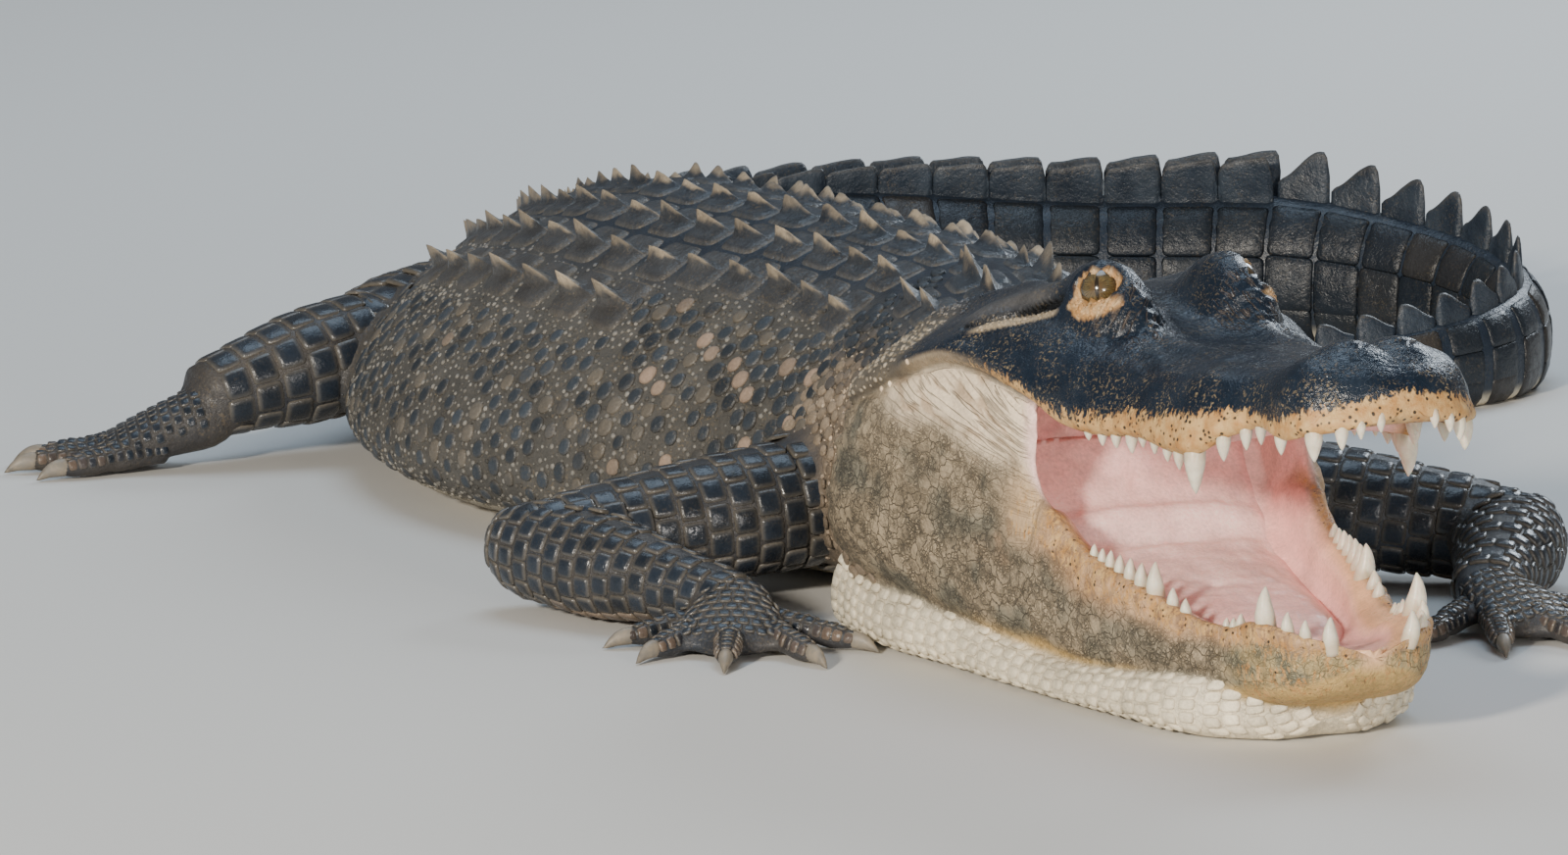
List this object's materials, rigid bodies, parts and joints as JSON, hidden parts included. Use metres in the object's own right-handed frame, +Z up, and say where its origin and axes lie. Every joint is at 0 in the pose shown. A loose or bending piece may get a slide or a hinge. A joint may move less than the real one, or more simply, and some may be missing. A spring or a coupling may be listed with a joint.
{
  "type": "american alligator",
  "caption": "Life-size model of an american alligator lying on the floor with its mouth open and its tail curled round.",
  "frame": {"origin": "the floor under the middle of the trunk, at the flat of the belly", "axes": "+Z up; the trunk faces -Y at its middle, so the right side of the animal is on -X; the tail curls round on +X"},
  "size_m": [1.2516, 1.8306, 0.2811],
  "materials": {
    "head_hide": "wet and glossy, blue black with worn tan specks; ivory teeth",
    "eye": "glossy, olive gold with a dark upright slit",
    "jaw_hide": "satin, greyish beige mottled with black; ivory teeth",
    "mouth_lining": "moist pink",
    "throat_hide": "dull cream scales",
    "back_hide": "glossy blue black scales with pale keels",
    "flank_hide": "satin, grey tan with dark oval scales, pale keels on the back",
    "tail_hide": "glossy blue black with upright crests",
    "leg_hide": "glossy, large dark scales with pale borders; grey beige claws"
  },
  "bodies": {
    "root": {"head": "head_hide", "eye_right": "eye", "eye_left": "eye", "lower_jaw": "jaw_hide", "tongue": "mouth_lining", "throat": "throat_hide", "neck": "back_hide", "torso_front": "flank_hide", "torso_middle": "flank_hide", "torso_rear": "flank_hide", "hips": "flank_hide", "tail_1": "tail_hide", "tail_2": "tail_hide", "tail_3": "tail_hide", "tail_4": "tail_hide", "tail_5": "tail_hide", "tail_6": "tail_hide", "tail_tip": "tail_hide", "upper_arm_right": "leg_hide", "forearm_right": "leg_hide", "hand_right": "leg_hide", "thigh_right": "leg_hide", "shank_right": "leg_hide", "foot_right": "leg_hide", "upper_arm_left": "leg_hide", "forearm_left": "leg_hide", "hand_left": "leg_hide", "thigh_left": "leg_hide", "shank_left": "leg_hide", "foot_left": "leg_hide"}
  },
  "joints": []
}
